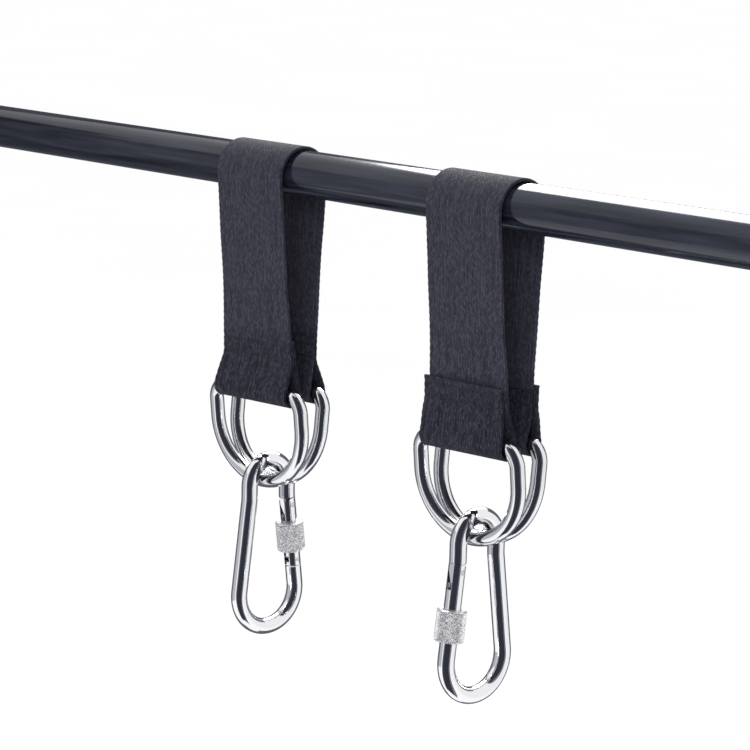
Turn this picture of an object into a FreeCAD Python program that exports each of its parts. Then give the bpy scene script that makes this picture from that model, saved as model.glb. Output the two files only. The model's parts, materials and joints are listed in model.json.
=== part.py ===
"""Pair of webbing hanging straps on a round cross bar, each with two D-rings and a screw-lock spring hook.

Millimetres, +Z up. The origin is on the bar's axis, midway between the straps. +X runs along the bar and
-Y is the front. Each STEP file in parts/ is one named piece.
"""
import FreeCAD, Part
import math
import os
from FreeCAD import Placement, Rotation, Vector

X_AXIS = Vector(1, 0, 0)
Z_AXIS = Vector(0, 0, 1)

# Cross bar: a round steel tube with a drawn-down spigot and a plastic plug at each end.
BAR_R = 11.0
BAR_WALL = 1.5
BAR_HALF = 320.0
TAPER = 5.0
SPIGOT_R = 9.4
SPIGOT = 36.0
PLUG_FLANGE = 2.0
PLUG_DEPTH = 14.0
PLUG_RIB = 0.9
PLUG_RIBS = (3, 7, 11)

# Webbing: one length over the bar, each end folded round a ring's bar and sewn back on itself.
STRAP_X = 74.5
WEB_WIDTH = 48.0
WEB = 1.6
WRAP_IN_R = 13.2
WRAP_Z = -1.9
NECK_Z = -92.0
NECK_OUT = 8.5
TWIST = 5.0
TWIST_TOP_Z = -22.0
TWIST_END_Z = -78.0
FOLD_END_Z = -80.5

# D-rings: a straight bar through the webbing's fold, two rounded corners and a round bottom.
RING_WIRE = 3.5
RING_HALF = 29.05
RING_CORNER = 8.5
RING_BAR_Y = 8.4
RING_BAR_Z = -107.0
RING_FOOT_Y = 3.6
RING_FOOT_Z = -152.8
FOLD_IN_R = 4.75
FOLD_DROP = 0.45
FOLD_CROTCH = 1.0

# Sewn seam: two rows of stitches across the doubled webbing.
STITCH_ROWS = (-83.5, -89.5)
STITCHES = 12
STITCH_PITCH = 3.9
STITCH_LONG = 2.8
STITCH_WIDE = 0.9
STITCH_PROUD = 0.5
STITCH_SUNK = 0.1

# Spring hook: round wire bent to a pear, narrow end up round the two rings. Its own frame has the narrow
# bend's centre as origin, u towards the gate and z up.
HOOK_WIRE = 4.0
NARROW_R = 11.8
WIDE_R = 17.7
WIDE_DROP = 54.6
RING_GAP = 0.12
SHOULDER_DROP = 7.0
ELBOW_R = 25.0

# Gate: a round barrel along the hook's open side, measured by s down from the hinge seam.
GATE_LONG = 34.8
SEAM = 0.15
NOSE_GAP = 0.5
HINGE_S = 3.5
LATCH_S = 32.0
SLOT_HALF = 1.7
TONGUE_HALF = 1.5
HINGE_SLOT = 12.0
LATCH_SLOT = 27.5
HINGE_PIN_R = 1.25
LATCH_PIN_R = 1.1
PIN_INSET = 0.15
RUN_GAP = 0.05
GATE_SWING = 25.0
BORE_R = 2.6
BORE = (8.5, 26.6)
TONGUE_END = 9.0
TONGUE_ROOT = 3.4
TONGUE_WIDE = 2.5
NOSE_HEAD = 28.6
NOSE_WIDE = 3.0
NOTCH_HALF = 1.5

# Inside the gate: a plunger and its spring press on the hinge tongue.
PLUNGER_R = 2.3
PLUNGER = (9.1, 12.4)
STEM_R = 1.1
STEM_END = 18.0
STEM_ROOT = 0.5
COIL_R = 1.8
COIL_WIRE = 0.35
COIL_TURNS = 7

# Lock sleeve: a knurled nut that screws down the gate over the nose.
SLEEVE_R = 6.8
SLEEVE_BORE_R = 4.1
SLEEVE_LONG = 14.8
SLEEVE_CHAMFER = 0.5
SLEEVE_OPEN_S = 12.5
SLEEVE_TRAVEL = 8.6

# The hook's two long sides open out by this angle, from the shoulders to a touch on the wide bend.
SIDE_DROP = WIDE_DROP - SHOULDER_DROP
FLARE = math.asin(WIDE_R / math.hypot(NARROW_R, SIDE_DROP)) - math.atan2(NARROW_R, SIDE_DROP)
ELBOW = ELBOW_R * math.tan(FLARE / 2)


def polygon(points):
    """A closed flat wire through the points."""
    return Part.makePolygon([*points, points[0]])


def flat(u, z):
    """A point of the section plane that the straps and hooks are drawn in."""
    return Vector(0, u, z)


def turned(shape, degrees, axis=Z_AXIS):
    """A copy of the shape, turned about an axis through the origin."""
    copy = shape.copy()
    copy.rotate(Vector(0, 0, 0), axis, degrees)
    return copy


def moved(shape, offset):
    """A copy of the shape, shifted."""
    copy = shape.copy()
    copy.translate(offset)
    return copy


def across(face, width):
    """A section in the Y-Z plane made solid, centred on X = 0."""
    return moved(face, Vector(-width / 2, 0, 0)).extrude(Vector(width, 0, 0))


def slab(points, width):
    """A block of the given width whose section is the polygon of (u, z) points."""
    return across(Part.Face(polygon([flat(u, z) for u, z in points])), width)


def tube(r_out, r_in, x0, x1):
    """A plain tube along the bar's axis."""
    solid = Part.makeCylinder(r_out, x1 - x0, Vector(x0, 0, 0), X_AXIS)
    return solid.cut(Part.makeCylinder(r_in, x1 - x0, Vector(x0, 0, 0), X_AXIS))


def save(name, shape):
    """Write one piece, after a look at its soundness."""
    if not shape.isValid() or not shape.Solids:
        raise ValueError(name + " isn't a sound solid")
    shape.exportStep(os.path.join("parts", name + ".step"))
    print("%-24s %9.1f mm3, %d solid(s)" % (name, shape.Volume, len(shape.Solids)))


# ---- cross bar ----------------------------------------------------------------------------------------


def support_bar():
    """The tube, drawn down at each end to a spigot, turned from its half profile."""
    end = BAR_HALF + TAPER + SPIGOT
    outer = [(-end, SPIGOT_R), (-BAR_HALF - TAPER, SPIGOT_R), (-BAR_HALF, BAR_R)]
    outer += [(-x, r) for x, r in reversed(outer)]
    inner = [(x, r - BAR_WALL) for x, r in reversed(outer)]
    section = Part.Face(polygon([Vector(x, 0, r) for x, r in outer + inner]))
    return section.revolve(Vector(0, 0, 0), X_AXIS, 360)


def end_plug(side):
    """A moulded plug: a flange over the tube's end and a ribbed stem pressed into its bore."""
    end = BAR_HALF + TAPER + SPIGOT
    bore = SPIGOT_R - BAR_WALL
    plug = Part.makeCylinder(SPIGOT_R - 0.2, PLUG_FLANGE, Vector(end, 0, 0), X_AXIS)
    plug = plug.fuse(tube(bore - PLUG_RIB, bore - 3 * PLUG_RIB, end - PLUG_DEPTH, end))
    for step in PLUG_RIBS:
        plug = plug.fuse(tube(bore, bore - 2 * PLUG_RIB, end - step - 1, end - step))
    return turned(plug.removeSplitter(), 0 if side > 0 else 180)


# ---- webbing ------------------------------------------------------------------------------------------


def leg_out(z):
    """How far a leg's outer face stands from the strap's middle plane, at height z."""
    top = WRAP_IN_R + WEB
    return top + (NECK_OUT - top) * (WRAP_Z - z) / (WRAP_Z - NECK_Z)


def wrap():
    """The part over the bar, down to where the legs begin to twist."""
    def arch(radius, foot):
        arc = Part.Arc(flat(-radius, WRAP_Z), flat(0, WRAP_Z + radius), flat(radius, WRAP_Z))
        points = [flat(radius, WRAP_Z), flat(foot, TWIST_TOP_Z), flat(-foot, TWIST_TOP_Z)]
        points.append(flat(-radius, WRAP_Z))
        return Part.Face(Part.Wire([arc.toShape()] + Part.makePolygon(points).Edges))

    foot = leg_out(TWIST_TOP_Z)
    section = arch(WRAP_IN_R + WEB, foot).cut(arch(WRAP_IN_R, foot - WEB))
    return across(section, WEB_WIDTH)


def twisted_leg(side):
    """One leg between the wrap and the seam, turning a little about the vertical on its way down."""
    rims = []
    for z, turn in ((TWIST_TOP_Z, 0.0), (TWIST_END_Z, TWIST)):
        near = leg_out(z) - WEB
        half = WEB_WIDTH / 2
        corners = [(-half, near), (half, near), (half, near + WEB), (-half, near + WEB)]
        rims.append(turned(polygon([Vector(x, side * u, z) for x, u in corners]), turn))
    return Part.makeLoft(rims, True, True)


def tangent(u, z, centre_u, centre_z, radius, side):
    """Where a line from (u, z) touches a circle, on the side of larger (+1) or smaller (-1) u."""
    du, dz = u - centre_u, z - centre_z
    angle = math.atan2(dz, du) - side * math.acos(radius / math.hypot(du, dz))
    return flat(centre_u + radius * math.cos(angle), centre_z + radius * math.sin(angle))


def teardrop(near, far, z, radius):
    """A drop round the ring's bar: its two straight sides start at (near, z) and (far, z)."""
    u, centre_z = RING_BAR_Y, RING_BAR_Z - FOLD_DROP
    a = tangent(near, z, u, centre_z, radius, -1)
    b = tangent(far, z, u, centre_z, radius, 1)
    bottom = Part.Arc(a, flat(u, centre_z - radius), b).toShape()
    rest = [b, flat(far, z)] + ([flat(near, z)] if near != far else []) + [a]
    return Part.Face(Part.Wire([bottom] + Part.makePolygon(rest).Edges))


def folded_end(side, tail_outside):
    """Below the twist: the leg, the doubled seam and the fold round the ring's bar."""
    def layer(top, lap):
        """One thickness of the doubled leg from height top to the neck, lap out from the leg's own place."""
        outer = [(leg_out(top) + lap, top), (NECK_OUT + lap, NECK_Z)]
        return slab(outer + [(u - WEB, z) for u, z in reversed(outer)], WEB_WIDTH)

    lap = WEB if tail_outside else -WEB
    near, far = NECK_OUT - WEB + min(lap, 0), NECK_OUT + max(lap, 0)
    middle = (near + far) / 2
    fold = teardrop(near, far, NECK_Z, FOLD_IN_R + WEB)
    fold = fold.cut(teardrop(middle, middle, NECK_Z - FOLD_CROTCH, FOLD_IN_R))
    solid = layer(TWIST_END_Z, 0).fuse([layer(FOLD_END_Z, lap), across(fold, WEB_WIDTH)])
    return turned(solid, TWIST + (0 if side > 0 else 180))


def webbing(tail_outside):
    """The whole strap, centred on X = 0."""
    pieces = [twisted_leg(1), twisted_leg(-1)]
    pieces += [folded_end(1, tail_outside), folded_end(-1, tail_outside)]
    return wrap().fuse(pieces).removeSplitter()


def seam(side, tail_outside):
    """Rows of stitches lying on the outer face of one doubled leg."""
    lift = WEB if tail_outside else 0.0
    stitches = []
    for row in STITCH_ROWS:
        top, low = row + STITCH_WIDE / 2, row - STITCH_WIDE / 2
        points = [(leg_out(top) + lift - STITCH_SUNK, top), (leg_out(top) + lift + STITCH_PROUD, top)]
        points += [(leg_out(low) + lift + STITCH_PROUD, low), (leg_out(low) + lift - STITCH_SUNK, low)]
        stitch = slab(points, STITCH_LONG)
        for i in range(STITCHES):
            stitches.append(moved(stitch, Vector((i - (STITCHES - 1) / 2) * STITCH_PITCH, 0, 0)))
    return turned(Part.makeCompound(stitches), TWIST + (0 if side > 0 else 180))


# ---- D-ring -------------------------------------------------------------------------------------------


def ring():
    """The back ring of a strap at X = 0, leaning in and turned with the strap's lower end."""
    lean = math.atan2(RING_BAR_Y - RING_FOOT_Y, RING_BAR_Z - RING_FOOT_Z)
    height = math.hypot(RING_BAR_Y - RING_FOOT_Y, RING_BAR_Z - RING_FOOT_Z)
    a, c, low = RING_HALF, RING_CORNER, height - RING_HALF
    s = c * (1 - math.sqrt(0.5))

    def at(x, z):
        return Vector(x, 0, z)

    edges = [
        Part.LineSegment(at(0, 0), at(a - c, 0)),
        Part.Arc(at(a - c, 0), at(a - s, -s), at(a, -c)),
        Part.LineSegment(at(a, -c), at(a, -low)),
        Part.Arc(at(a, -low), at(0, -height), at(-a, -low)),
        Part.LineSegment(at(-a, -low), at(-a, -c)),
        Part.Arc(at(-a, -c), at(-a + s, -s), at(-a + c, 0)),
        Part.LineSegment(at(-a + c, 0), at(0, 0)),
    ]
    path = Part.Wire([e.toShape() for e in edges])
    section = Part.Wire([Part.makeCircle(RING_WIRE, Vector(0, 0, 0), X_AXIS)])
    solid = path.makePipeShell([section], True, True)
    solid = turned(solid, -math.degrees(lean), X_AXIS)
    return turned(moved(solid, Vector(0, RING_BAR_Y, RING_BAR_Z)), TWIST)


# ---- spring hook --------------------------------------------------------------------------------------


def hook_centre_z():
    """Height of the narrow bend's centre, with the bend hanging on the two rings side by side."""
    reach = NARROW_R - HOOK_WIRE - RING_WIRE - RING_GAP
    return RING_FOOT_Z - math.sqrt(reach**2 - RING_FOOT_Y**2)


def down_gate(s, u=0.0):
    """A point s down the gate's axis and u out from it, in the hook's frame."""
    along, out = s + ELBOW, Vector(0, math.cos(FLARE), math.sin(FLARE))
    foot = Vector(0, NARROW_R + along * math.sin(FLARE), -SHOULDER_DROP - along * math.cos(FLARE))
    return foot + out * u


def rod(s0, s1, radius):
    """A round bar on the gate's axis from s0 to s1."""
    start = down_gate(s0)
    return Part.makeCylinder(radius, s1 - s0, start, down_gate(s1) - start)


def plate(points, half_thick):
    """A flat plate in the hook's plane; its outline is a list of (s, u) on the gate's axis."""
    return across(Part.Face(polygon([down_gate(s, u) for s, u in points])), 2 * half_thick)


def cross_pin(s, radius, half_long):
    """A pin through the gate, across the hook's plane."""
    start = down_gate(s) - X_AXIS * half_long
    return Part.makeCylinder(radius, 2 * half_long, start, X_AXIS)


def hook_path():
    """The wire's centre line: nose, wide bend, spine, narrow bend, and down to the hinge shoulder."""
    nose = down_gate(GATE_LONG + NOSE_GAP)
    touch = Vector(0, WIDE_R * math.cos(FLARE), -WIDE_DROP + WIDE_R * math.sin(FLARE))
    far_touch = Vector(0, -touch.y, touch.z)
    bend_low = down_gate(0)
    bend_high = Vector(0, NARROW_R, -SHOULDER_DROP + ELBOW)
    centre = Vector(0, NARROW_R + ELBOW_R, bend_high.z)
    half = FLARE / 2
    bend_mid = centre + Vector(0, -ELBOW_R * math.cos(half), -ELBOW_R * math.sin(half))

    def mirror(p):
        return Vector(0, -p.y, p.z)

    edges = [
        Part.LineSegment(nose, touch),
        Part.Arc(touch, Vector(0, 0, -WIDE_DROP - WIDE_R), far_touch),
        Part.LineSegment(far_touch, mirror(bend_low)),
        Part.Arc(mirror(bend_low), mirror(bend_mid), mirror(bend_high)),
        Part.LineSegment(mirror(bend_high), Vector(0, -NARROW_R, 0)),
        Part.Arc(Vector(0, -NARROW_R, 0), Vector(0, 0, NARROW_R), Vector(0, NARROW_R, 0)),
        Part.LineSegment(Vector(0, NARROW_R, 0), bend_high),
        Part.Arc(bend_high, bend_mid, bend_low),
    ]
    return Part.Wire([e.toShape() for e in edges])


def hook_body():
    """The bent wire with a flat tongue at the hinge and a notched flat nose."""
    start = down_gate(GATE_LONG + NOSE_GAP)
    way = down_gate(GATE_LONG + 1) - start
    wire = hook_path().makePipeShell([Part.Wire([Part.makeCircle(HOOK_WIRE, start, way)])], True, True)
    half = [(-2, TONGUE_ROOT), (HINGE_S, TONGUE_ROOT), (TONGUE_END, TONGUE_WIDE)]
    tongue = plate(half + [(s, -u) for s, u in reversed(half)], TONGUE_HALF)
    tongue = tongue.cut(cross_pin(HINGE_S, HINGE_PIN_R, HOOK_WIRE))
    wide, deep = NOSE_WIDE, GATE_LONG + 2
    nose = plate([(NOSE_HEAD, -wide), (NOSE_HEAD, wide), (deep, wide), (deep, -wide)], TONGUE_HALF)
    low, high = LATCH_S - NOTCH_HALF, LATCH_S + NOTCH_HALF
    nose = nose.cut(plate([(low, -wide - 1), (low, 0), (high, 0), (high, -wide - 1)], HOOK_WIRE))
    nose = nose.cut(cross_pin(LATCH_S, NOTCH_HALF, HOOK_WIRE))
    return wire.fuse([tongue, nose]).removeSplitter()


def gate():
    """The barrel: forked at the hinge, bored for the spring and slotted at the latch."""
    barrel = rod(SEAM, GATE_LONG, HOOK_WIRE).cut(rod(*BORE, BORE_R))
    past = HOOK_WIRE + 1
    for s0, s1 in ((SEAM - 1, HINGE_SLOT), (LATCH_SLOT, GATE_LONG + 1)):
        slot = plate([(s0, -past), (s0, past), (s1, past), (s1, -past)], SLOT_HALF)
        barrel = barrel.cut(slot)
    barrel = barrel.cut(cross_pin(HINGE_S, HINGE_PIN_R + RUN_GAP, HOOK_WIRE + 1))
    barrel = barrel.cut(cross_pin(LATCH_S, LATCH_PIN_R, HOOK_WIRE + 1))
    # The inner edge of the hinge end is bevelled, so that it clears the shoulder as the gate swings in.
    slope = math.radians(GATE_SWING + 1)
    edge = -(HINGE_S - SEAM) * math.tan(slope / 2)
    fall = (past + edge) * math.tan(slope)
    bevel = [(SEAM - 1, edge), (SEAM, edge), (SEAM + fall, -past), (SEAM - 1, -past)]
    return barrel.cut(plate(bevel, past))


def plunger():
    """A headed plug in the gate's bore, its stem inside the spring."""
    return rod(*PLUNGER, PLUNGER_R).fuse(rod(PLUNGER[1] - STEM_ROOT, STEM_END, STEM_R)).removeSplitter()


def gate_spring():
    """A helical spring from the plunger's head to the bore's floor."""
    s0, s1 = PLUNGER[1] + COIL_WIRE, BORE[1] - COIL_WIRE
    pitch = (s1 - s0) / COIL_TURNS
    helix = Part.makeHelix(pitch, s1 - s0, COIL_R)
    along = Vector(0, 2 * math.pi * COIL_R, pitch)
    section = Part.Wire([Part.makeCircle(COIL_WIRE, Vector(COIL_R, 0, 0), along)])
    coil = Part.Wire(helix.Edges).makePipeShell([section], True, True)
    coil.Placement = Placement(down_gate(s0), Rotation(Z_AXIS, down_gate(1) - down_gate(0)))
    return coil


def lock_sleeve(s):
    """The locking nut, its top edge s down the gate."""
    r, c, end = SLEEVE_R, SLEEVE_CHAMFER, s + SLEEVE_LONG
    half = [(s, SLEEVE_BORE_R), (s, r - c), (s + c, r), (end - c, r), (end, r - c), (end, SLEEVE_BORE_R)]
    section = Part.Face(polygon([down_gate(at, out) for at, out in half]))
    return section.revolve(down_gate(s), down_gate(end) - down_gate(s), 360)


# ---- the whole set ------------------------------------------------------------------------------------


def hook_pieces(sleeve_s):
    """Every piece of one spring hook, in the hook's frame with the gate towards +Y."""
    return {
        "hook_body": hook_body(),
        "gate": gate(),
        "hinge_pin": cross_pin(HINGE_S, HINGE_PIN_R, HOOK_WIRE - PIN_INSET),
        "latch_pin": cross_pin(LATCH_S, LATCH_PIN_R, HOOK_WIRE - PIN_INSET),
        "plunger": plunger(),
        "gate_spring": gate_spring(),
        "lock_sleeve": lock_sleeve(sleeve_s),
    }


def strap_set(side, tail_outside, locked):
    """One hanging strap with its rings and hook. A locked hook has its gate to the front."""
    pieces = {
        "webbing": webbing(tail_outside),
        "front_seam": seam(-1, tail_outside),
        "back_seam": seam(1, tail_outside),
        "back_ring": ring(),
        "front_ring": turned(ring(), 180),
    }
    sleeve_s = SLEEVE_OPEN_S + (SLEEVE_TRAVEL if locked else 0.0)
    for name, shape in hook_pieces(sleeve_s).items():
        facing = turned(shape, 180 if locked else 0)
        pieces[name] = moved(facing, Vector(0, 0, hook_centre_z()))
    name_side = "right" if side > 0 else "left"
    for name, shape in pieces.items():
        save(name_side + "_" + name, moved(shape, Vector(side * STRAP_X, 0, 0)))


os.makedirs("parts", exist_ok=True)
save("support_bar", support_bar())
save("end_plug_left", end_plug(-1))
save("end_plug_right", end_plug(1))
strap_set(-1, tail_outside=False, locked=False)
strap_set(1, tail_outside=True, locked=True)
print("hook centre z %.3f, hinge at %s" % (hook_centre_z(), down_gate(HINGE_S)))
print("flare %.3f degrees" % math.degrees(FLARE))
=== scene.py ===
"""Looks of a pair of webbing hanging straps on a cross bar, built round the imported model. Metres, +Z up."""
import json
import math

import bmesh
import bpy
import numpy as np
from mathutils import Matrix, Vector


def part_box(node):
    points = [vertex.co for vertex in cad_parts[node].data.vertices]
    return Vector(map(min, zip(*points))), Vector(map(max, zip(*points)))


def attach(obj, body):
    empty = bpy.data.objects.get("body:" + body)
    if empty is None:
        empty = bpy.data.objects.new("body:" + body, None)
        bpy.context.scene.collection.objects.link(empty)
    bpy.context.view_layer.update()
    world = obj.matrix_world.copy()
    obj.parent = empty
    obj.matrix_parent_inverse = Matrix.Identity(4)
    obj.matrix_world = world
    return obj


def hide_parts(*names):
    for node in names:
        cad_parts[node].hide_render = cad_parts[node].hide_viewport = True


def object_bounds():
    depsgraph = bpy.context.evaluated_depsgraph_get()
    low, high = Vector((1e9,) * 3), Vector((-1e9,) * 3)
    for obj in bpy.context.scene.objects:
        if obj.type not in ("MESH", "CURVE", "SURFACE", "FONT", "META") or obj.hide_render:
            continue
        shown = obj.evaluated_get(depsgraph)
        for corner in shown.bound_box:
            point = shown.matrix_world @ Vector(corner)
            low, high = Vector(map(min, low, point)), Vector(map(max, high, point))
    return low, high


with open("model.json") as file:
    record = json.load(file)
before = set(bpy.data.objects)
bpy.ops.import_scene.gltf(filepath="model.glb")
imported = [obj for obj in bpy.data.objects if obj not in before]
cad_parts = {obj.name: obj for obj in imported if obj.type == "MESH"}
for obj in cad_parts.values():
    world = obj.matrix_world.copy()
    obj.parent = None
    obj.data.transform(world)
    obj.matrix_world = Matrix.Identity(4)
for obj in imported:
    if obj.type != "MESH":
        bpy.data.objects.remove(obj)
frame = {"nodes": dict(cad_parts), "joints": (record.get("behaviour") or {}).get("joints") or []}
cad_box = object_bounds()
joints = {joint["name"]: joint for joint in frame["joints"]}
MM = 0.001

# ---- cross bar --------------------------------------------------------------------------------------------
# A drawn steel tube, ground smooth and sprayed with gloss black enamel that flows out to a faint orange peel.
# It carries both straps. Its ends are drawn down to spigots and closed with moulded plugs.

# The enamel's own black, and a lighter colour for the streaks of painted reflection along the tube.
ENAMEL_BLACK = (0.004, 0.005, 0.010, 1)
ENAMEL_PAINTED_STREAK = (0.026, 0.028, 0.042, 1)


class Wire:
    """An output socket. Sums on it add the Math nodes that work them out."""

    def __init__(self, bench, socket):
        self.bench = bench
        self.socket = socket

    def __add__(self, other):
        return self.bench.sum("ADD", self, other)

    def __sub__(self, other):
        return self.bench.sum("SUBTRACT", self, other)

    def __rsub__(self, other):
        return self.bench.sum("SUBTRACT", other, self)

    def __mul__(self, other):
        return self.bench.sum("MULTIPLY", self, other)

    def __truediv__(self, other):
        return self.bench.sum("DIVIDE", self, other)

    def __pow__(self, other):
        return self.bench.sum("POWER", self, other)

    def __mod__(self, other):
        return self.bench.sum("FLOORED_MODULO", self, other)

    __radd__ = __add__
    __rmul__ = __mul__


class Bench:
    """A node tree, of a material or of a modifier, and the one way that nodes are added to it."""

    def __init__(self, tree):
        self.tree = tree

    def feed(self, node, inputs):
        """Set or link a node's sockets, by name or by number."""
        for name, value in inputs.items():
            if isinstance(value, Wire):
                self.tree.links.new(value.socket, node.inputs[name])
            else:
                node.inputs[name].default_value = value

    def node(self, kind, settings=None, inputs=None, out=0):
        """Add a node: its settings first, then its sockets. Gives the output asked for."""
        node = self.tree.nodes.new(kind)
        for name, value in (settings or {}).items():
            setattr(node, name, value)
        self.feed(node, inputs or {})
        return Wire(self, node.outputs[out])

    def sum(self, operation, *terms):
        """A Math node on one, two or three terms."""
        return self.node("ShaderNodeMath", {"operation": operation}, dict(enumerate(terms)))

    def apart(self, vector):
        """The three parts of a vector."""
        split = self.node("ShaderNodeSeparateXYZ", {}, {0: vector})
        return [Wire(self, socket) for socket in split.socket.node.outputs]

    def join(self, x=0.0, y=0.0, z=0.0):
        """A vector from its three parts."""
        return self.node("ShaderNodeCombineXYZ", {}, {0: x, 1: y, 2: z})


class Finish(Bench):
    """A material on the principled shader; plain values are set on the shader's own sockets."""

    def __init__(self, name, **plain):
        self.material = bpy.data.materials.new(name)
        self.material.use_nodes = True
        super().__init__(self.material.node_tree)
        self.shader = self.tree.nodes["Principled BSDF"]
        self.wear({socket.replace("_", " "): value for socket, value in plain.items()})

    def wear(self, inputs):
        """Set or link the shader's sockets."""
        self.feed(self.shader, inputs)

    def mix(self, share, a, b):
        """A colour between a and b."""
        return self.node("ShaderNodeMix", {"data_type": "RGBA"}, {0: share, 6: a, 7: b}, 2)

    def noise(self, place, scale, detail=2.0, rough=0.5):
        """Smooth noise from 0 to 1."""
        inputs = {"Vector": place, "Scale": scale, "Detail": detail, "Roughness": rough}
        return self.node("ShaderNodeTexNoise", {}, inputs)

    def stretched(self, place, x, y, z):
        """Coordinates multiplied by x, y and z, for a pattern with a grain."""
        return self.node("ShaderNodeMapping", {}, {"Vector": place, "Scale": (x, y, z)})

    def raised(self, height, distance, strength):
        """Put a height, in the given distance, on the surface as a bump."""
        inputs = {"Height": height, "Distance": distance, "Strength": strength}
        self.wear({"Normal": self.node("ShaderNodeBump", {}, inputs)})


def grey(level, blue=0.0):
    """A grey with a little blue in it."""
    return (level, level, level * (1 + blue), 1)


def gloss_enamel():
    """Black enamel: deep gloss, faint orange peel, and lengthwise streaks of painted reflection along the
    tube.
    """
    finish = Finish("gloss_black_enamel", IOR=1.5, Specular_IOR_Level=0.46, Specular_Tint=(0.8, 0.85, 1, 1))
    place = finish.node("ShaderNodeTexCoord", out="Object")
    streaks = finish.noise(finish.stretched(place, 3.0, 60.0, 60.0), 6.0, 4.0)
    clouds = finish.noise(place, 35.0, 3.0)
    peel = finish.noise(place, 900.0, 1.0)
    # The lighter lengthwise streaks in the colour are painted reflection along the tube.
    finish.wear({"Base Color": finish.mix(2.4 * (streaks - 0.38), ENAMEL_BLACK, ENAMEL_PAINTED_STREAK)})
    finish.wear({"Roughness": 0.09 + 0.10 * streaks * clouds})
    finish.raised(peel, 0.00002, 0.25)
    return finish.material


def moulded_plastic():
    """Satin black plastic with a fine spark-eroded grain."""
    finish = Finish("moulded_black_plastic", IOR=1.49)
    place = finish.node("ShaderNodeTexCoord", out="Object")
    grain = finish.noise(place, 2600.0, 2.0)
    scuff = finish.noise(place, 120.0, 4.0)
    finish.wear({"Base Color": finish.mix(scuff, grey(0.010, 0.1), grey(0.020, 0.1))})
    finish.wear({"Roughness": 0.42 + 0.16 * grain})
    finish.raised(grain, 0.00004, 0.5)
    return finish.material


def dress(node, material):
    """Give a node that stands as modelled its finish."""
    mesh = frame["nodes"][node].data
    mesh.materials.clear()
    mesh.materials.append(material)


dress("support_bar", gloss_enamel())
plug_plastic = moulded_plastic()
dress("end_plug_left", plug_plastic)
dress("end_plug_right", plug_plastic)

# ---- webbing ----------------------------------------------------------------------------------------------
# Black polyester webbing, 48 mm wide, woven in fine lengthwise ribs with hard selvages. One length lies over
# the bar. Each end goes round a ring and is sewn back on its leg, inside on the left, outside on the right.

TAIL_OUTSIDE = {"left": False, "right": True}
WEB_WIDE = 48 * MM
WEB_THICK = 1.6 * MM
LAP = 1.02 * WEB_THICK

# Where the webbing runs. U is how far its middle stands from the strap's own middle, to the front or back.
WRAP_R = 13.2 * MM + WEB_THICK / 2
WRAP_DROP = 1.9 * MM
NECK_Z = -92 * MM
NECK_U = 8.5 * MM - WEB_THICK / 2
TAIL_Z = -80.5 * MM
STITCH_ROWS = (-83.5 * MM, -89.5 * MM)
TWIST = math.radians(5)
TWIST_ZONE = (-50 * MM, -106 * MM)

# The ring in each fold: its wire's radius, half its width, its top corners' radius, and the fold's slack.
RING_WIRE = 3.5 * MM
RING_HALF = 29.05 * MM
RING_CORNER = 8.5 * MM
FOLD_SLACK = 0.95 * MM
FOLD_R = RING_WIRE + FOLD_SLACK + WEB_THICK / 2
CORNER_ZONE = (-96 * MM, -105 * MM)

# How the mesh is cut: steps along, points across each face, and the rounding of the line's corners.
LINE_STEP = 0.8 * MM
ACROSS = 40
SOFTEN = 1.1 * MM

# Small departures from a flat strip. A zone is the heights over which one comes in. The loose legs' two
# crossed waves are in radians a metre, along and across.
SELVAGE = 1.6 * MM
PICOT_PITCH = 3.3 * MM
PICOT = 0.13 * MM
SELVAGE_SWELL = 0.06
STITCH_PULL = 0.24
STITCH_REACH = 0.9 * MM
SPREAD = 0.018
SPREAD_ZONE = (-84 * MM, -102 * MM)
WAVE = 0.35 * MM
LONG_WAVE, CROSS_WAVE = (95, 60), (31, 110)
WAVE_PHASE = {"left": 4, "right": 5}
CURL = 0.25 * MM
LOOSE_TOP = (-18 * MM, -38 * MM)
LOOSE_FOOT = (-88 * MM, -68 * MM)
TAIL_LEAN = 1.7 * MM
LEAN_RUN = (26 * MM, 12 * MM)

# The weave, in millimetres, its colours with painted shade in the grooves, and the heights over which the
# doubled webbing is painted darker towards the rings.
RIB_PITCH = 1.05
PICK_PITCH = 1.7
# The grooves' colours are painted far darker than the crowns': painted shade in the grooves.
GROOVE_SHADED_DARK, GROOVE_SHADED_PALE = (0.0055, 0.006, 0.0115, 1), (0.0085, 0.009, 0.017, 1)
CROWN_DARK, CROWN_PALE = (0.046, 0.046, 0.068, 1), (0.066, 0.067, 0.096, 1)
FOOT_DARKENED_ZONE = (-74 * MM, -86 * MM)


def strap_x(side):
    """How far along the bar a strap's middle hangs."""
    return joints[side + "_strap_swing"]["pos_m"][0]


def leg_u(z):
    """How far a leg's middle stands from the strap's own middle, at height z."""
    return WRAP_R + (NECK_U - WRAP_R) * (-WRAP_DROP - z) / (-WRAP_DROP - NECK_Z)


def touch_angle(u, z, centre, radius, side):
    """The angle at which a line from (u, z) touches a circle, on its outer (+1) or inner (-1) side."""
    du, dz = u - centre[0], z - centre[1]
    return math.atan2(dz, du) - side * math.acos(radius / math.hypot(du, dz))


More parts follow.
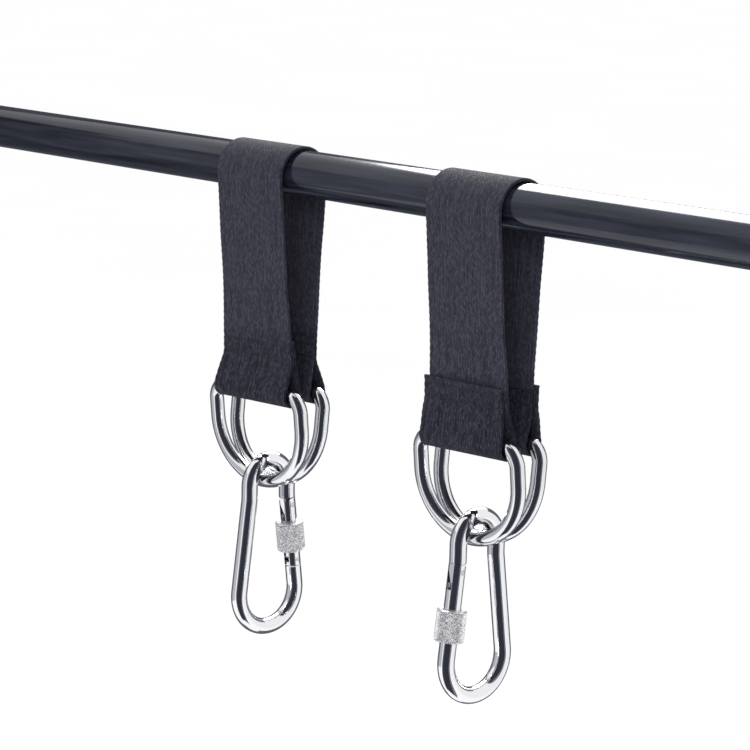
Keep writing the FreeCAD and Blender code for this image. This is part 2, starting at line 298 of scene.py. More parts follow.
def half_line(ring_u, ring_z, tail_outside):
    """The webbing's middle line from its sewn tail, round the ring's bar, up to the top of the cross bar."""
    way = 1 if tail_outside else -1
    lap = LAP * way
    centre = (ring_u, ring_z)
    first = touch_angle(NECK_U + lap, NECK_Z, centre, FOLD_R, way)
    last = touch_angle(NECK_U, NECK_Z, centre, FOLD_R, -way)
    sweep = way * ((way * (first - last)) % (2 * math.pi))
    line = [(leg_u(z) + lap, z) for z in np.linspace(TAIL_Z, NECK_Z, 8)]
    for angle in np.linspace(first, first - sweep, 40):
        line.append((centre[0] + FOLD_R * math.cos(angle), centre[1] + FOLD_R * math.sin(angle)))
    line += [(leg_u(z), z) for z in np.linspace(NECK_Z, -WRAP_DROP, 60)]
    for angle in np.linspace(0, math.pi / 2, 30)[1:]:
        line.append((WRAP_R * math.cos(angle), -WRAP_DROP + WRAP_R * math.sin(angle)))
    return np.array(line)


def evenly(line, step):
    """The line again, its points a step apart."""
    run = np.concatenate([[0], np.cumsum(np.linalg.norm(np.diff(line, axis=0), axis=1))])
    at = np.linspace(0, run[-1], math.ceil(run[-1] / step) + 1)
    return np.stack([np.interp(at, run, line[:, k]) for k in range(2)], axis=1)


def softened(line, spread):
    """The line with its corners rounded, its two ends kept."""
    reach = math.ceil(3 * spread / LINE_STEP)
    weights = np.exp(-0.5 * (np.arange(-reach, reach + 1) * LINE_STEP / spread) ** 2)
    weights /= weights.sum()
    head = 2 * line[0] - line[reach:0:-1]
    foot = 2 * line[-1] - line[-2:-reach - 2:-1]
    padded = np.concatenate([head, line, foot])
    return np.stack([np.convolve(padded[:, k], weights, "valid") for k in range(2)], axis=1)


def strap_line(side, tail_outside):
    """The webbing's whole middle line, as (u, z), from the front tail over the bar to the back tail."""
    swing = joints[side + "_back_ring_swing"]["pos_m"]
    ring_u = math.hypot(swing[0] - strap_x(side), swing[1])
    back = half_line(ring_u, swing[2], tail_outside)
    front = back * (-1, 1)
    return softened(evenly(np.concatenate([front, back[-2::-1]]), LINE_STEP), SOFTEN)


def fade_in(value, start, end):
    """0 before start, 1 past end, smooth between. The end may be the lower of the two."""
    t = np.clip((value - start) / (end - start), 0, 1)
    return t * t * (3 - 2 * t)


def section_outline():
    """The webbing's section as a loop of (x, share of half thickness): flat faces, rounded selvages."""
    half, r = WEB_WIDE / 2, WEB_THICK / 2
    flat = [(x, 1.0) for x in np.linspace(-half + r, half - r, ACROSS)]
    turn = np.linspace(math.pi / 2, -math.pi / 2, 9)[1:-1]
    right = [(half - r + r * math.cos(a), math.sin(a)) for a in turn]
    loop = flat + right + [(x, -s) for x, s in reversed(flat)] + [(-x, -s) for x, s in right]
    return np.array(loop)


def corner_drop(x):
    """How far the ring's rounded corner pushes the fold down at x, past the fold's slack."""
    inner = RING_CORNER - RING_WIRE
    into = np.clip(np.abs(x) - (RING_HALF - RING_CORNER), 0, inner * 0.8)
    return np.maximum(inner - np.sqrt(inner**2 - into**2) - FOLD_SLACK, 0)


def twist_at(z):
    """How far the webbing has turned about the vertical at height z, on its way down to the rings."""
    return TWIST * fade_in(z, *TWIST_ZONE)


def strap_points(side, tail_outside):
    """The webbing's surface as rows of points, one row for each step along it, and each point's (x, run)."""
    line = strap_line(side, tail_outside)
    along = np.gradient(line, axis=0)
    along /= np.linalg.norm(along, axis=1)[:, None]
    loop = section_outline()
    x, share = loop[None, :, 0], loop[None, :, 1]
    u, z, run = line[:, :1], line[:, 1:], np.arange(len(line))[:, None] * LINE_STEP
    half = WEB_WIDE / 2

    # Scalloped selvages, and a fold spread wider by the load.
    edge = fade_in(np.abs(x), half - SELVAGE, half)
    wide = x * (1 + edge * PICOT / half * np.sin(2 * math.pi * run / PICOT_PITCH))
    wide = wide * (1 + SPREAD * fade_in(z, *SPREAD_ZONE))

    # Stitched rows drawn in, and a slow waviness and a curl in the loose stretch of each leg.
    drawn = sum(np.exp(-((z - row) / STITCH_REACH) ** 2) for row in STITCH_ROWS)
    loose = fade_in(z, *LOOSE_TOP) * fade_in(z, *LOOSE_FOOT)
    wave = WAVE * np.sin(run * LONG_WAVE[0] + x * LONG_WAVE[1] + WAVE_PHASE[side])
    wave = wave * np.sin(run * CROSS_WAVE[0] + x * CROSS_WAVE[1])
    curl = -CURL * (x / half) ** 4
    thick = WEB_THICK * (1 - STITCH_PULL * drawn + SELVAGE_SWELL * edge)
    offset = share * thick / 2 + (wave + curl) * loose
    y = u - along[:, 1:] * offset
    level = z + along[:, :1] * offset - corner_drop(x) * fade_in(z, *CORNER_ZONE)

    # A sewn tail on the outside sits a little askew.
    if tail_outside:
        from_tail = np.minimum(run, run[-1] - run)
        wide = wide - TAIL_LEAN * fade_in(from_tail, *LEAN_RUN) * np.where(u < 0, 1, -1)

    turn = twist_at(z)
    px = strap_x(side) + wide * np.cos(turn) - y * np.sin(turn)
    py = wide * np.sin(turn) + y * np.cos(turn)
    points = np.stack(np.broadcast_arrays(px, py, level), axis=2)
    marks = np.stack(np.broadcast_arrays(x, run), axis=2)
    return points, marks


def in_scene(name, data):
    """A new object in the scene for a mesh, a light or a camera."""
    thing = bpy.data.objects.new(name, data)
    bpy.context.scene.collection.objects.link(thing)
    return thing


def skin(name, points, marks):
    """A closed mesh over rows of points, each row a loop. The marks become its UV map, in webbing widths."""
    rows, around = points.shape[:2]
    index = np.arange(rows * around).reshape(rows, around)
    here, there = index[:-1], index[1:]
    quads = np.stack([here, there, np.roll(there, -1, 1), np.roll(here, -1, 1)], axis=2)
    faces = quads.reshape(-1, 4).tolist() + [index[0].tolist(), index[-1][::-1].tolist()]
    mesh = bpy.data.meshes.new(name)
    mesh.from_pydata(points.reshape(-1, 3).tolist(), [], faces)
    uv = mesh.uv_layers.new(name="weave").data
    flat_marks = marks.reshape(-1, 2) / WEB_WIDE
    corners = np.empty(len(mesh.loops), np.int32)
    mesh.loops.foreach_get("vertex_index", corners)
    uv.foreach_set("uv", flat_marks[corners].astype(np.float32).ravel())
    body = bmesh.new()
    body.from_mesh(mesh)
    bmesh.ops.recalc_face_normals(body, faces=body.faces)
    body.to_mesh(mesh)
    body.free()
    mesh.shade_smooth()
    return in_scene(name, mesh)


def woven_polyester():
    """Black webbing: fine warp ribs, with yarn crowns of uneven brightness and painted shade in the grooves
    between them.
    """
    finish = Finish("woven_black_webbing", IOR=1.45, Specular_IOR_Level=0.14, Sheen_Weight=0.03)
    marks = finish.node("ShaderNodeUVMap", {"uv_map": "weave"})
    across, along = [part * (WEB_WIDE / MM) for part in finish.apart(marks)[:2]]
    sway = finish.noise(finish.join(across * 0.15, along * 0.12), 1.0, 2.0)
    rib = (across + sway * 0.6) / RIB_PITCH
    column = finish.sum("FLOOR", rib)
    crown = finish.sum("SINE", (rib - column) * math.pi)
    step = along / PICK_PITCH + (column % 2.0) * 0.5 + sway
    row = finish.sum("FLOOR", step)
    pick = finish.sum("SINE", (step - row) * math.pi)
    glint = finish.node("ShaderNodeTexWhiteNoise", {}, {"Vector": finish.join(column, row)})
    height = (crown**0.8) * (0.3 + 0.7 * pick**0.6)
    streaks = finish.noise(finish.join(across * 0.9, along * 0.03), 1.0, 4.0, 0.65)
    clouds = finish.noise(finish.join(across * 0.07, along * 0.05), 1.0, 3.0)
    fuzz = finish.noise(finish.join(across * 5.0, along * 3.0), 1.0, 3.0)
    level = finish.apart(finish.node("ShaderNodeTexCoord", out="Object"))[2]
    # The webbing's colour is painted darker from just above the tail down towards the rings.
    foot_darkening = finish.node("ShaderNodeMapRange", {}, {0: level, 1: FOOT_DARKENED_ZONE[0], 2: FOOT_DARKENED_ZONE[1]})
    shade = height * (0.2 + 0.65 * glint**1.5) + 1.1 * (streaks - 0.45) + 0.3 * fuzz - 0.2 * foot_darkening
    # Painted shade: the grooves between the ribs get the much darker colours.
    shaded_groove_colour = finish.mix(clouds, GROOVE_SHADED_DARK, GROOVE_SHADED_PALE)
    crown_colour = finish.mix(clouds, CROWN_DARK, CROWN_PALE)
    finish.wear({"Base Color": finish.mix(shade, shaded_groove_colour, crown_colour)})
    finish.wear({"Roughness": 0.8 - 0.2 * height * glint + 0.08 * fuzz})
    finish.raised(height * (0.6 + 0.4 * glint) + 0.3 * fuzz + 0.3 * streaks, 0.00032, 0.8)
    return finish.material


def cut_length(points):
    """The webbing's length, measured along its middle."""
    middle = points.mean(axis=1)
    return float(np.linalg.norm(np.diff(middle, axis=0), axis=1).sum())


webbing_finish = woven_polyester()
straps = {}
for side, tail_outside in TAIL_OUTSIDE.items():
    points, marks = strap_points(side, tail_outside)
    strap = skin(side + "_hanging_strap", points, marks)
    strap.data.materials.append(webbing_finish)
    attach(strap, side + "_strap")
    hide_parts(side + "_webbing")
    straps[side] = (strap, round(cut_length(points), 3))

# ---- sewn seams -------------------------------------------------------------------------------------------
# Bonded black thread, lock-stitched in two rows through the doubled webbing above each ring. The stitches
# pull into the weave, so only their crowns stand out.

STITCH_PITCH = 3.4 * MM
STITCH_LONG = 2.9 * MM
STITCH_WIDE = 0.95 * MM
STITCH_SUNK = 0.18 * MM
ROW_HALF = 21.5 * MM


def growth(name, sockets):
    """A geometry node tree with named inputs: its bench, and a wire from each input, the guide mesh first."""
    tree = bpy.data.node_groups.new(name, "GeometryNodeTree")
    for label, kind in {"Guide": "Geometry", **sockets}.items():
        tree.interface.new_socket(label, in_out="INPUT", socket_type="NodeSocket" + kind)
    tree.interface.new_socket("Grown", in_out="OUTPUT", socket_type="NodeSocketGeometry")
    bench = Bench(tree)
    inputs = bench.node("NodeGroupInput").socket.node.outputs
    return bench, [Wire(bench, socket) for socket in inputs[:len(sockets) + 1]]


def given_out(bench, shape, material):
    """End a geometry tree: the shape with its material, as the tree's output."""
    dressed = bench.node("GeometryNodeSetMaterial", {}, {"Geometry": shape, "Material": material})
    bench.feed(bench.tree.nodes.new("NodeGroupOutput"), {0: dressed})
    return bench.tree


def stitch_tree():
    """Geometry nodes: a thread crown at every pitch along each edge of the seam's guide lines."""
    sizes = {"Pitch": "Float", "Length": "Float", "Width": "Float"}
    bench, asked = growth("stitch_row", {**sizes, "Thread": "Material"})
    guide, pitch, length, width, thread = asked
    curve = bench.node("GeometryNodeMeshToCurve", {}, {0: guide})
    spots = bench.node("GeometryNodeCurveToPoints", {"mode": "LENGTH"}, {"Curve": curve, "Length": pitch})
    tangent = Wire(bench, spots.socket.node.outputs["Tangent"])
    turn = bench.node("FunctionNodeAlignRotationToVector", {"axis": "X"}, {"Vector": tangent})
    crown = bench.node("GeometryNodeMeshUVSphere", {}, {"Segments": 10, "Rings": 7, "Radius": 0.5})
    size = bench.join(length, width, width)
    thread_crown = bench.node("GeometryNodeTransform", {}, {"Geometry": crown, "Scale": size})
    placed = bench.node("GeometryNodeInstanceOnPoints", {},
                        {"Points": spots, "Instance": thread_crown, "Rotation": turn})
    real = bench.node("GeometryNodeRealizeInstances", {}, {0: placed})
    smooth = bench.node("GeometryNodeSetShadeSmooth", {}, {0: real})
    return given_out(bench, smooth, thread)


def grown(name, guide, tree, values):
    """The plain mesh that a tree grows on a guide mesh, as a new piece; the guide is thrown away."""
    seed = in_scene(name, guide)
    modifier = seed.modifiers.new("grow", "NODES")
    modifier.node_group = tree
    keys = {item.name: item.identifier for item in tree.interface.items_tree if item.in_out == "INPUT"}
    for label, value in values.items():
        modifier[keys[label]] = value
    seen = seed.evaluated_get(bpy.context.evaluated_depsgraph_get())
    mesh = bpy.data.meshes.new_from_object(seen)
    bpy.data.objects.remove(seed)
    return in_scene(name, mesh)


def spun_thread():
    """Bonded thread: a tight twist that shows as slanting lines of painted shade between the plies, with a
    waxy sheen.
    """
    finish = Finish("bonded_black_thread", IOR=1.5)
    place = finish.node("ShaderNodeTexCoord", out="Object")
    x, y, z = finish.apart(place)
    twist = finish.sum("SINE", (x + z * 1.2 + y * 0.4) * 9000.0)
    fibre = finish.noise(place, 5000.0, 2.0)
    # The slanting dark lines in the colour are painted shade in the grooves between the plies.
    finish.wear({"Base Color": finish.mix(0.5 + 0.5 * twist, grey(0.007, 0.4), grey(0.020, 0.4))})
    finish.wear({"Roughness": 0.5 + 0.2 * fibre})
    finish.raised(twist, 0.00006, 0.6)
    return finish.material


def seam_guide(name, side, face_side, tail_outside):
    """The lines that a seam's stitches follow: two rows on the outer face and two on the inner one."""
    ends = []
    for row in STITCH_ROWS:
        for layer in (1, -1):
            middle = leg_u(row) + (WEB_THICK if tail_outside else -WEB_THICK) / 2
            depth = middle + layer * (WEB_THICK - STITCH_SUNK)
            for x in (-ROW_HALF, ROW_HALF):
                ends.append(Vector((face_side * x, face_side * depth, row)))
    mesh = bpy.data.meshes.new(name)
    shift = Vector((strap_x(side), 0, 0))
    points = [Matrix.Rotation(twist_at(end.z), 3, "Z") @ end + shift for end in ends]
    mesh.from_pydata([tuple(p) for p in points], [(i, i + 1) for i in range(0, len(points), 2)], [])
    return mesh


thread_finish = spun_thread()
stitching = stitch_tree()
for side, tail_outside in TAIL_OUTSIDE.items():
    for face, face_side in (("front", -1), ("back", 1)):
        name = side + "_" + face + "_stitches"
        guide = seam_guide(name, side, face_side, tail_outside)
        values = {"Pitch": STITCH_PITCH, "Length": STITCH_LONG, "Width": STITCH_WIDE}
        values |= {"Thread": thread_finish}
        seam = grown(name, guide, stitching, values)
        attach(seam, side + "_strap")
        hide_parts(side + "_" + face + "_seam")
    strap, length = straps[side]

# ---- D-rings ----------------------------------------------------------------------------------------------
# Mild steel wire, bent to a D, butt welded, then barrel polished and bright chromed. The webbing's fold hides
# the weld. The plating is mirror smooth apart from fine handling marks and a slight waviness.

# The middle of the wire at a ring's foot: how far out from the strap's own middle, and its height.
RING_FOOT_U, RING_FOOT_Z = 3.6 * MM, -152.8 * MM
UP = Vector((0, 0, 1))
WIRE_SIDES = 40
BEND_STEP = math.radians(2.5)


def bent(start, heading, moves):
    """Complex points and headings along a bent wire. A move is (length,) or (radius, angle to the left)."""
    here, points = start, []
    for move in moves:
        if len(move) == 1:
            steps = max(2, math.ceil(move[0] / (4 * MM)))
            for i in range(steps):
                points.append((here + move[0] * i / steps * np.exp(1j * heading), heading))
            here += move[0] * np.exp(1j * heading)
        else:
            radius, angle = move
            to_centre = np.exp(1j * (heading + math.copysign(math.pi / 2, angle))) * radius
            steps = max(2, math.ceil(abs(angle) / BEND_STEP))
            for i in range(steps):
                part = angle * i / steps
                points.append((here + to_centre - to_centre * np.exp(1j * part), heading + part))
            here += to_centre - to_centre * np.exp(1j * angle)
            heading += angle
    return [*points, (here, heading)]


def wire_rows(path, radius):
    """Loops of points round a bent wire; the wire lies in the plane of the first two axes."""
    rows = []
    for at, heading in path:
        side = np.exp(1j * (heading - math.pi / 2))
        loop = []
        for i in range(WIRE_SIDES):
            angle = 2 * math.pi * i / WIRE_SIDES
            spot = at + side * radius * math.cos(angle)
            loop.append((spot.real, spot.imag, radius * math.sin(angle)))
        rows.append(loop)
    return rows


def loops_to_shape(shape, rows, closed):
    """Add rows of points to a bmesh as a tube, joined end to end or capped."""
    loops = [[shape.verts.new(point) for point in row] for row in rows]
    pairs = list(zip(loops, loops[1:])) + ([(loops[-1], loops[0])] if closed else [])
    for low, high in pairs:
        for i in range(len(low)):
            j = (i + 1) % len(low)
            shape.faces.new((low[i], low[j], high[j], high[i]))
    if not closed:
        shape.faces.new(loops[0])
        shape.faces.new(loops[-1])


def placed(name, shape, matrix, finish, body, node, slot):
    """Make a bmesh into a finished piece that rides a body and stands for a node."""
    bmesh.ops.transform(shape, matrix=matrix, verts=shape.verts)
    bmesh.ops.recalc_face_normals(shape, faces=shape.faces)
    mesh = bpy.data.meshes.new(name)
    shape.to_mesh(mesh)
    shape.free()
    mesh.shade_smooth()
    mesh.materials.append(finish)
    piece = in_scene(name, mesh)
    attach(piece, body)
    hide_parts(node)
    return piece


def bright_chrome(name, tone, rough):
    """Polished chrome plate with faint waviness, smears and hairline scratches."""
    finish = Finish(name, Metallic=1.0, Specular_IOR_Level=0.5)
    place = finish.node("ShaderNodeTexCoord", out="Object")
    smear = finish.noise(place, 90.0, 4.0)
    hairs = finish.noise(finish.stretched(place, 1.0, 1.0, 14.0), 700.0, 2.0)
    swell = finish.noise(place, 120.0, 1.0)
    finish.wear({"Base Color": finish.mix(smear, grey(tone, 0.015), grey(tone * 0.93, 0.03))})
    finish.wear({"Roughness": rough + 0.07 * smear**3.0 + 0.03 * hairs})
    finish.raised(swell + 0.03 * hairs, 0.0001, 0.35)
    return finish.material


def ring_shape(tall):
    """A wire D in the plane of the first two axes: its bar through the origin, its bow that far below."""
    flat_run, leg_run = RING_HALF - RING_CORNER, tall - RING_HALF - RING_CORNER
    corner = (RING_CORNER, -math.pi / 2)
    moves = [(flat_run,), corner, (leg_run,), (RING_HALF, -math.pi), (leg_run,), corner, (flat_run,)]
    shape = bmesh.new()
    loops_to_shape(shape, wire_rows(bent(0j, 0, moves)[:-1], RING_WIRE), True)
    return shape


def stood_at(place, first, second):
    """The matrix that puts the origin at a place, with the first two axes along two directions."""
    return Matrix.Translation(place) @ Matrix((first, second, first.cross(second))).transposed().to_4x4()


ring_chrome = bright_chrome("bright_chrome_rings", 0.80, 0.075)
for side in ("left", "right"):
    for part, face_side in (("front_ring", -1), ("back_ring", 1)):
        swing = joints[side + "_" + part + "_swing"]
        hold = Vector(swing["pos_m"])
        out = math.hypot(hold.x - strap_x(side), hold.y) - RING_FOOT_U
        rise = hold.z - RING_FOOT_Z
        lean = math.atan2(out, rise)
        along = Vector(swing["axis"]).normalized()
        outward = UP.cross(along) * face_side
        upward = UP * math.cos(lean) + outward * math.sin(lean)
        placed(side + "_" + part + "_wire", ring_shape(math.hypot(out, rise)), stood_at(hold, along, upward),
               ring_chrome, side + "_" + part, side + "_" + part, "ring_chrome")

# ---- spring hook bodies -----------------------------------------------------------------------------------
# Harder 8 mm wire bent to a pear, cropped square at both ends, its ends pressed flat to a hinge tongue and a
# notched nose. Polished and chromed like the rings.

# The wire's radius, and then its middle line, whose drops are from the centre of the narrow bend.
HOOK_WIRE = 4 * MM
NARROW_R = 11.8 * MM
WIDE_R = 17.7 * MM
SHOULDER = 7 * MM
WIDE_DROP = 54.6 * MM
ELBOW_R = 25 * MM
SPINE_ELBOW_R = 9 * MM
GATE_LONG = 35.3 * MM
END_BEVEL = 0.35 * MM
SHARP_FROM = math.radians(38)

# The flats at the wire's two ends, in millimetres down the gate from its top, and out from its axis.
TONGUE = ((-2, 3.4), (3.5, 3.4), (9, 2.5))
NOSE = (28.6, 36.8)
NOSE_HALF = 3.0
LATCH_S = 32.0
NOTCH_R = 1.5
FLAT_HALF = 1.5 * MM


def hook_lines():
    """The hook's flare, its elbow's reach and the length of its long sides, from its two bends."""
    fall = WIDE_DROP - SHOULDER
    flare = math.asin(WIDE_R / math.hypot(NARROW_R, fall)) - math.atan2(NARROW_R, fall)
    touch = (WIDE_R * math.cos(flare) - NARROW_R, WIDE_R * math.sin(flare) - fall)
    return flare, ELBOW_R * math.tan(flare / 2), math.hypot(*touch)


def flat_outlines():
    """The tongue and the nose with its notch, as (down the gate, outward) outlines in millimetres."""
    tongue = [*TONGUE, *[(s, -u) for s, u in reversed(TONGUE)]]
    notch = [(LATCH_S + NOTCH_R * math.cos(a), NOTCH_R * math.sin(a)) for a in np.linspace(0, math.pi, 13)]
    head, root = NOSE
    nose = [(head, NOSE_HALF), (root, NOSE_HALF), (root, -NOSE_HALF), (LATCH_S + NOTCH_R, -NOSE_HALF)]
    nose += notch + [(LATCH_S - NOTCH_R, -NOSE_HALF), (head, -NOSE_HALF)]
    return tongue, nose


def cropped_rows(path):
    """Loops of points round the hook's wire, with a small bevel at each cropped end."""
    (start, first), *middle, (end, last) = path
    inset_start = start + END_BEVEL * np.exp(1j * first)
    inset_end = end - END_BEVEL * np.exp(1j * last)
    faces = wire_rows([path[0], path[-1]], HOOK_WIRE - END_BEVEL)
    body = wire_rows([(inset_start, first), *middle, (inset_end, last)], HOOK_WIRE)
    return [faces[0], *body, faces[1]]


def hook_shape():
    """The bent wire with bevelled ends, and its flat tongue and nose, gate side towards the first axis."""
    flare, elbow, run = hook_lines()
    top = complex(NARROW_R, -SHOULDER)
    down = complex(math.sin(flare), -math.cos(flare))
    start = top + down * (elbow + GATE_LONG)
    tight = SPINE_ELBOW_R * math.tan(flare / 2)
    moves = [(run - elbow - GATE_LONG,), (WIDE_R, -math.pi - 2 * flare), (run - tight,)]
    moves += [(SPINE_ELBOW_R, flare), (SHOULDER - tight,), (NARROW_R, -math.pi)]
    moves += [(SHOULDER - elbow,), (ELBOW_R, flare)]
    shape = bmesh.new()
    loops_to_shape(shape, cropped_rows(bent(start, flare - math.pi / 2, moves)), False)
    for outline in flat_outlines():
        spots = [top + down * (elbow + s * MM) + down * 1j * u * MM for s, u in outline]
        faces = [[(spot.real, spot.imag, level) for spot in spots] for level in (-FLAT_HALF, FLAT_HALF)]
        loops_to_shape(shape, faces, False)
    return shape


hook_chrome = bright_chrome("bright_chrome_hooks", 0.84, 0.07)
for side in ("left", "right"):
    centre = Vector(joints[side + "_hook_swing"]["pos_m"])
    sleeve_way = Vector(joints[side + "_lock_sleeve_travel"]["axis"])
    to_gate = Vector((0, math.copysign(1, -sleeve_way.y * sleeve_way.z), 0))
    piece = placed(side + "_hook_wire", hook_shape(), stood_at(centre, to_gate, UP), hook_chrome,
                   side + "_hook", side + "_hook_body", "hook_chrome")
    piece.data.set_sharp_from_angle(angle=SHARP_FROM)

# ---- gates and what is in them ----------------------------------------------------------------------------
# The gate is a turned steel barrel, forked over the tongue and slotted over the nose, and chromed. Its
# rivets, plunger and spring are plain steel. All of them stand as modelled.


def drawn_steel(name, tone):
    """Plain drawn or turned steel with a fine grain."""
    finish = Finish(name, Metallic=1.0)
    place = finish.node("ShaderNodeTexCoord", out="Object")
    grain = finish.noise(finish.stretched(place, 8.0, 8.0, 1.0), 900.0, 3.0)
    finish.wear({"Base Color": finish.mix(grain, grey(tone, 0.02), grey(tone * 0.8, 0.03))})
    finish.wear({"Roughness": 0.2 + 0.2 * grain})
    finish.raised(grain, 0.00002, 0.4)
    return finish.material


pin_steel = drawn_steel("turned_pin_steel", 0.62)
spring_steel = drawn_steel("drawn_spring_wire", 0.5)
for side in ("left", "right"):
    dress(side + "_gate", hook_chrome)
    for part in ("hinge_pin", "latch_pin", "plunger"):
        dress(side + "_" + part, pin_steel)
    dress(side + "_gate_spring", spring_steel)

# ---- lock sleeves -----------------------------------------------------------------------------------------
# A turned steel nut on each gate, its outside rolled with a diamond knurl and nickelled to a matte white
# grey. Screwed down it covers the joint at the nose; screwed up it leaves the gate free.

SLEEVE_R = 6.8 * MM
SLEEVE_BORE = 4.1 * MM
SLEEVE_LONG = 14.8 * MM
SLEEVE_RIM = 0.9 * MM
SLEEVE_SIDES = 64
END_CHAMFER, RIM_CHAMFER = 0.5 * MM, 0.35 * MM
RIM_SLOPE = 0.2 * MM
KNURL_AROUND = 30
KNURL_ROWS = 21
KNURL_TALL = 0.34 * MM
TOOTH_TALL = 1.3 * KNURL_TALL
TOOTH_SUNK = 0.62 * KNURL_TALL


def knurl_tree():
    """Geometry nodes: staggered rows of small pyramids round a drum that stands on the origin."""
    sizes = {"Radius": "Float", "Height": "Float", "Tall": "Float", "Start": "Float"}
    bench, asked = growth("diamond_knurl", {"Around": "Int", "Rows": "Int", **sizes, "Metal": "Material"})
    drum, around, rows, radius, high, tall, start, metal = asked
    spots = bench.node("GeometryNodePoints", {}, {"Count": around * rows})
    number = bench.node("GeometryNodeInputIndex")
    row = bench.sum("FLOOR", number / around)
    spin = (number % around + (row % 2.0) * 0.5) / around * (2 * math.pi)
    cosine, sine = bench.sum("COSINE", spin), bench.sum("SINE", spin)
    outward = bench.join(cosine, sine, 0.0)
    level = start + (row + 0.5) * high / rows
    place = bench.join(cosine * radius, sine * radius, level)
    set_out = bench.node("GeometryNodeSetPosition", {}, {"Geometry": spots, "Position": place})
    broad = radius * (2 * math.pi) / around
    cone_inputs = {"Vertices": 4, "Radius Bottom": 0.5, "Depth": 1.0}
    cone = bench.node("GeometryNodeMeshCone", {"fill_type": "NONE"}, cone_inputs)
    size = bench.join(high / rows * 2.0, broad, tall)
    pyramid = bench.node("GeometryNodeTransform", {}, {"Geometry": cone, "Scale": size})
    stand = bench.node("FunctionNodeAlignRotationToVector", {"axis": "Z"}, {"Vector": outward})
    upright = bench.node("FunctionNodeAlignRotationToVector", {"axis": "X", "pivot_axis": "Z"},
                         {"Rotation": stand, "Vector": (0.0, 0.0, 1.0)})
    teeth = bench.node("GeometryNodeInstanceOnPoints", {},
                       {"Points": set_out, "Instance": pyramid, "Rotation": upright})
    real = bench.node("GeometryNodeRealizeInstances", {}, {0: teeth})
    both = bench.node("GeometryNodeJoinGeometry", {}, {0: real})
    bench.feed(both.socket.node, {0: drum})
    return given_out(bench, both, metal)


def drum_mesh(name):
    """The sleeve's turned blank: bored through, with a plain bevelled rim at each end."""
    half = [(SLEEVE_BORE, 0), (SLEEVE_R - END_CHAMFER, 0), (SLEEVE_R, RIM_CHAMFER)]
    half += [(SLEEVE_R, SLEEVE_RIM - RIM_SLOPE), (SLEEVE_R - KNURL_TALL, SLEEVE_RIM)]
    profile = half + [(r, SLEEVE_LONG - z) for r, z in reversed(half)]
    spins = [2 * math.pi * i / SLEEVE_SIDES for i in range(SLEEVE_SIDES)]
    shape = bmesh.new()
    loops_to_shape(shape, [[(r * math.cos(a), r * math.sin(a), z) for a in spins] for r, z in profile], True)
    bmesh.ops.recalc_face_normals(shape, faces=shape.faces)
    mesh = bpy.data.meshes.new(name)
    shape.to_mesh(mesh)
    shape.free()
    return mesh


def matte_nickel():
    """Nickel over a rolled knurl, with random speckle in the colour: painted glints on the crests and painted
    shade in the valleys.
    """
    finish = Finish("matte_nickel_knurl", Metallic=0.65)
    place = finish.node("ShaderNodeTexCoord", out="Object")
    grain = finish.noise(place, 2500.0, 3.0)
    knurl_speckle = finish.noise(place, 1300.0, 2.0)
    # Random speckle painted into the colour: bright for glints on the knurl's crests, dark for shade in its
    # valleys.
    finish.wear({"Base Color": finish.mix(3.2 * (knurl_speckle - 0.30), grey(0.30, 0.05), grey(0.97, 0.02))})
    finish.wear({"Roughness": 0.2 + 0.16 * grain})
    finish.raised(grain, 0.00003, 0.5)
    return finish.material


def gate_axis(side):
    """The way down the gate, and a point on its axis, from the sleeve's joint and its box."""
    way = Vector(joints[side + "_lock_sleeve_travel"]["axis"])
    low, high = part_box(side + "_lock_sleeve")
    return (way if way.z < 0 else -way).normalized(), (low + high) / 2


nickel = matte_nickel()
knurling = knurl_tree()
for side in ("left", "right"):
    name = side + "_knurled_sleeve"
    values = {"Around": KNURL_AROUND, "Rows": KNURL_ROWS, "Radius": SLEEVE_R - TOOTH_SUNK}
    values |= {"Height": SLEEVE_LONG - 2 * SLEEVE_RIM, "Tall": TOOTH_TALL, "Start": SLEEVE_RIM}
    values |= {"Metal": nickel}
    sleeve = grown(name, drum_mesh(name), knurling, values)
    way, centre = gate_axis(side)
    stand = way.to_track_quat("Z", "Y").to_matrix().to_4x4()
    sleeve.data.transform(Matrix.Translation(centre - way * (SLEEVE_LONG / 2)) @ stand)
    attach(sleeve, side + "_lock_sleeve")
    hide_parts(side + "_lock_sleeve")

# ---- floor, light and camera ------------------------------------------------------------------------------
# A pale studio: white floor and sky, soft lights behind and in front, a bright one that only gloss shows, and
# grey cards for the chrome and the enamel to reflect. Neither the cards nor the lights show to the camera.

FLOOR_Z = cad_box[0][2] - 0.35
FLOOR_REACH = 12.0
SKY = 1.04
CARD_STEPS = 24
VIEW_AZIMUTH = math.radians(48.30)
VIEW_HEIGHT = math.radians(10.64)
VIEW_ROLL = math.radians(1.09)
VIEW_FAR = 1.376
VIEW_LENS = 141.4
AIM = Vector((0.0026, 0, -0.0893))


def emitter(name, colour):
    """A material that only glows, for a card."""
    material = bpy.data.materials.new(name)
    material.use_nodes = True
    tree = material.node_tree
    tree.nodes.clear()
    bench = Bench(tree)
    glow = bench.node("ShaderNodeEmission", {}, {"Color": (*colour, 1)})
    bench.feed(tree.nodes.new("ShaderNodeOutputMaterial"), {0: glow})
    return material


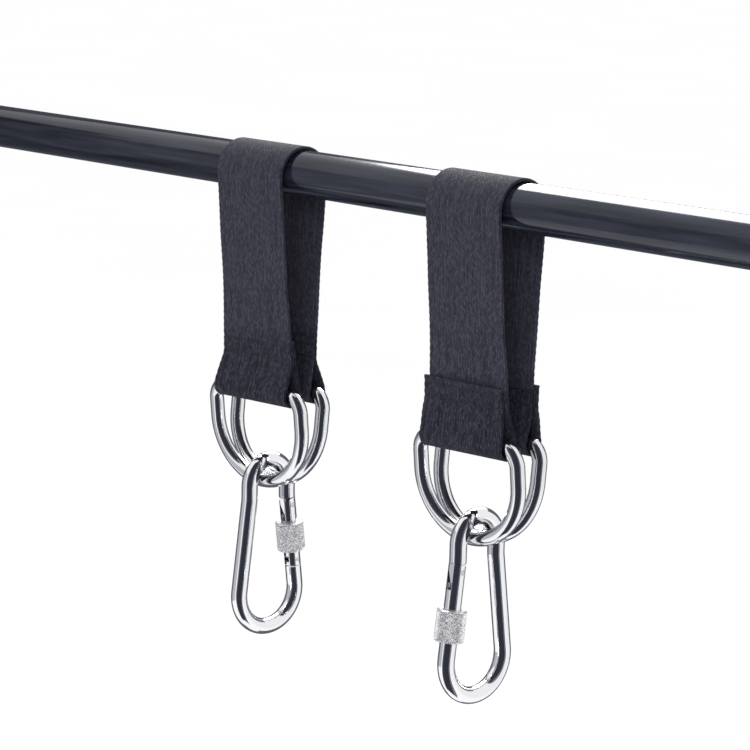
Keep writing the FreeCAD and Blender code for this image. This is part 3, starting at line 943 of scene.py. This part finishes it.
def card(name, azimuth, half_angle, profile, colour):
    """A card curved round the object, over a profile of (radius, height); it shows only in reflections."""
    mesh = bpy.data.meshes.new(name)
    spins = [azimuth + half_angle * (2 * i / CARD_STEPS - 1) for i in range(CARD_STEPS + 1)]
    points = []
    for radius, z in profile:
        points += [(radius * math.sin(a), -radius * math.cos(a), z) for a in spins]
    width = CARD_STEPS + 1
    faces = []
    for row in range(0, width * (len(profile) - 1), width):
        faces += [(i, i + 1, i + 1 + width, i + width) for i in range(row, row + CARD_STEPS)]
    mesh.from_pydata(points, [], faces)
    mesh.materials.append(emitter(name, colour))
    piece = in_scene(name, mesh)
    piece.visible_camera = False
    piece.visible_diffuse = False
    piece.visible_shadow = False


def studio_floor():
    """A wide matte floor, nearly white."""
    mesh = bpy.data.meshes.new("studio_floor")
    corners = [(x * FLOOR_REACH, y * FLOOR_REACH, FLOOR_Z) for x, y in ((-1, -1), (1, -1), (1, 1), (-1, 1))]
    mesh.from_pydata(corners, [], [(0, 1, 2, 3)])
    finish = Finish("pale_floor", Roughness=0.9)
    place = finish.node("ShaderNodeTexCoord", out="Object")
    finish.wear({"Base Color": finish.mix(finish.noise(place, 3.0), grey(0.97), grey(0.94))})
    mesh.materials.append(finish.material)
    floor = in_scene("studio_floor", mesh)


def softbox(name, place, aim, size, watts, lights, mirrored):
    """An area light pointed at a spot, that lights the matte surfaces, or is mirrored in the glossy ones."""
    lamp = bpy.data.lights.new(name, "AREA")
    lamp.shape = "RECTANGLE"
    lamp.size, lamp.size_y = size
    lamp.energy = watts
    rig = in_scene(name, lamp)
    rig.location = place
    rig.rotation_euler = (Vector(aim) - Vector(place)).to_track_quat("-Z", "Y").to_euler()
    rig.visible_camera = False
    rig.visible_diffuse = lights
    rig.visible_glossy = mirrored


def camera():
    """The camera, a little above the bar and looking along it from the front right."""
    flat_back = Vector((math.sin(VIEW_AZIMUTH), -math.cos(VIEW_AZIMUTH), 0))
    back = flat_back * math.cos(VIEW_HEIGHT) + UP * math.sin(VIEW_HEIGHT)
    right = Vector((math.cos(VIEW_AZIMUTH), math.sin(VIEW_AZIMUTH), 0))
    up = back.cross(right)
    level, roll = math.cos(VIEW_ROLL), math.sin(VIEW_ROLL)
    right, up = right * level + up * roll, up * level - right * roll
    lens = bpy.data.cameras.new("camera")
    lens.lens = VIEW_LENS
    lens.sensor_width = 36
    lens.clip_end = 100
    rig = in_scene("camera", lens)
    rig.matrix_world = stood_at(AIM + back * VIEW_FAR, right, up)
    bpy.context.scene.camera = rig


world = bpy.data.worlds.new("studio")
world.use_nodes = True
sky = world.node_tree.nodes["Background"].inputs
sky["Color"].default_value = (1, 1, 1, 1)
sky["Strength"].default_value = SKY
bpy.context.scene.world = world
bpy.context.scene.view_settings.view_transform = "Standard"

studio_floor()
UNDER = FLOOR_Z + 0.08
FRONT = ((0.12, UNDER), (0.8, UNDER + 0.05), (1.1, -0.1), (1.0, 1.2), (0.6, 1.6))
card("dark_card", VIEW_AZIMUTH, math.radians(33), FRONT, (0.036, 0.039, 0.055))
card("left_fringe", VIEW_AZIMUTH - math.radians(40), math.radians(7), FRONT, (0.11, 0.115, 0.14))
card("right_fringe", VIEW_AZIMUTH + math.radians(41), math.radians(8), FRONT, (0.2, 0.205, 0.23))
BACK = ((0.1, UNDER), (1.6, UNDER + 0.01), (1.6, 0.8))
card("grey_card_back", VIEW_AZIMUTH + math.pi, math.radians(66), BACK, (0.13, 0.135, 0.16))
SIDE = ((0.8, UNDER + 0.02), (1.3, UNDER + 0.03), (1.3, 0.5))
card("bar_shade", VIEW_AZIMUTH - math.radians(85), math.radians(22), SIDE, (0.55, 0.56, 0.6))
card("far_bar_shade", VIEW_AZIMUTH - math.radians(112), math.radians(5), SIDE, (0.25, 0.26, 0.3))
softbox("back_light", (-0.6, 0.6, 0.75), (0, 0, 0), (0.9, 0.8), 2, True, False)
softbox("bar_gleam", (-0.62, 0.55, 0.72), (-0.62, 0, 0), (0.72, 1.1), 34, False, True)
softbox("front_fill", (1.0, -1.1, 0.5), (0, 0, -0.1), (0.8, 0.8), 9, True, False)
camera()
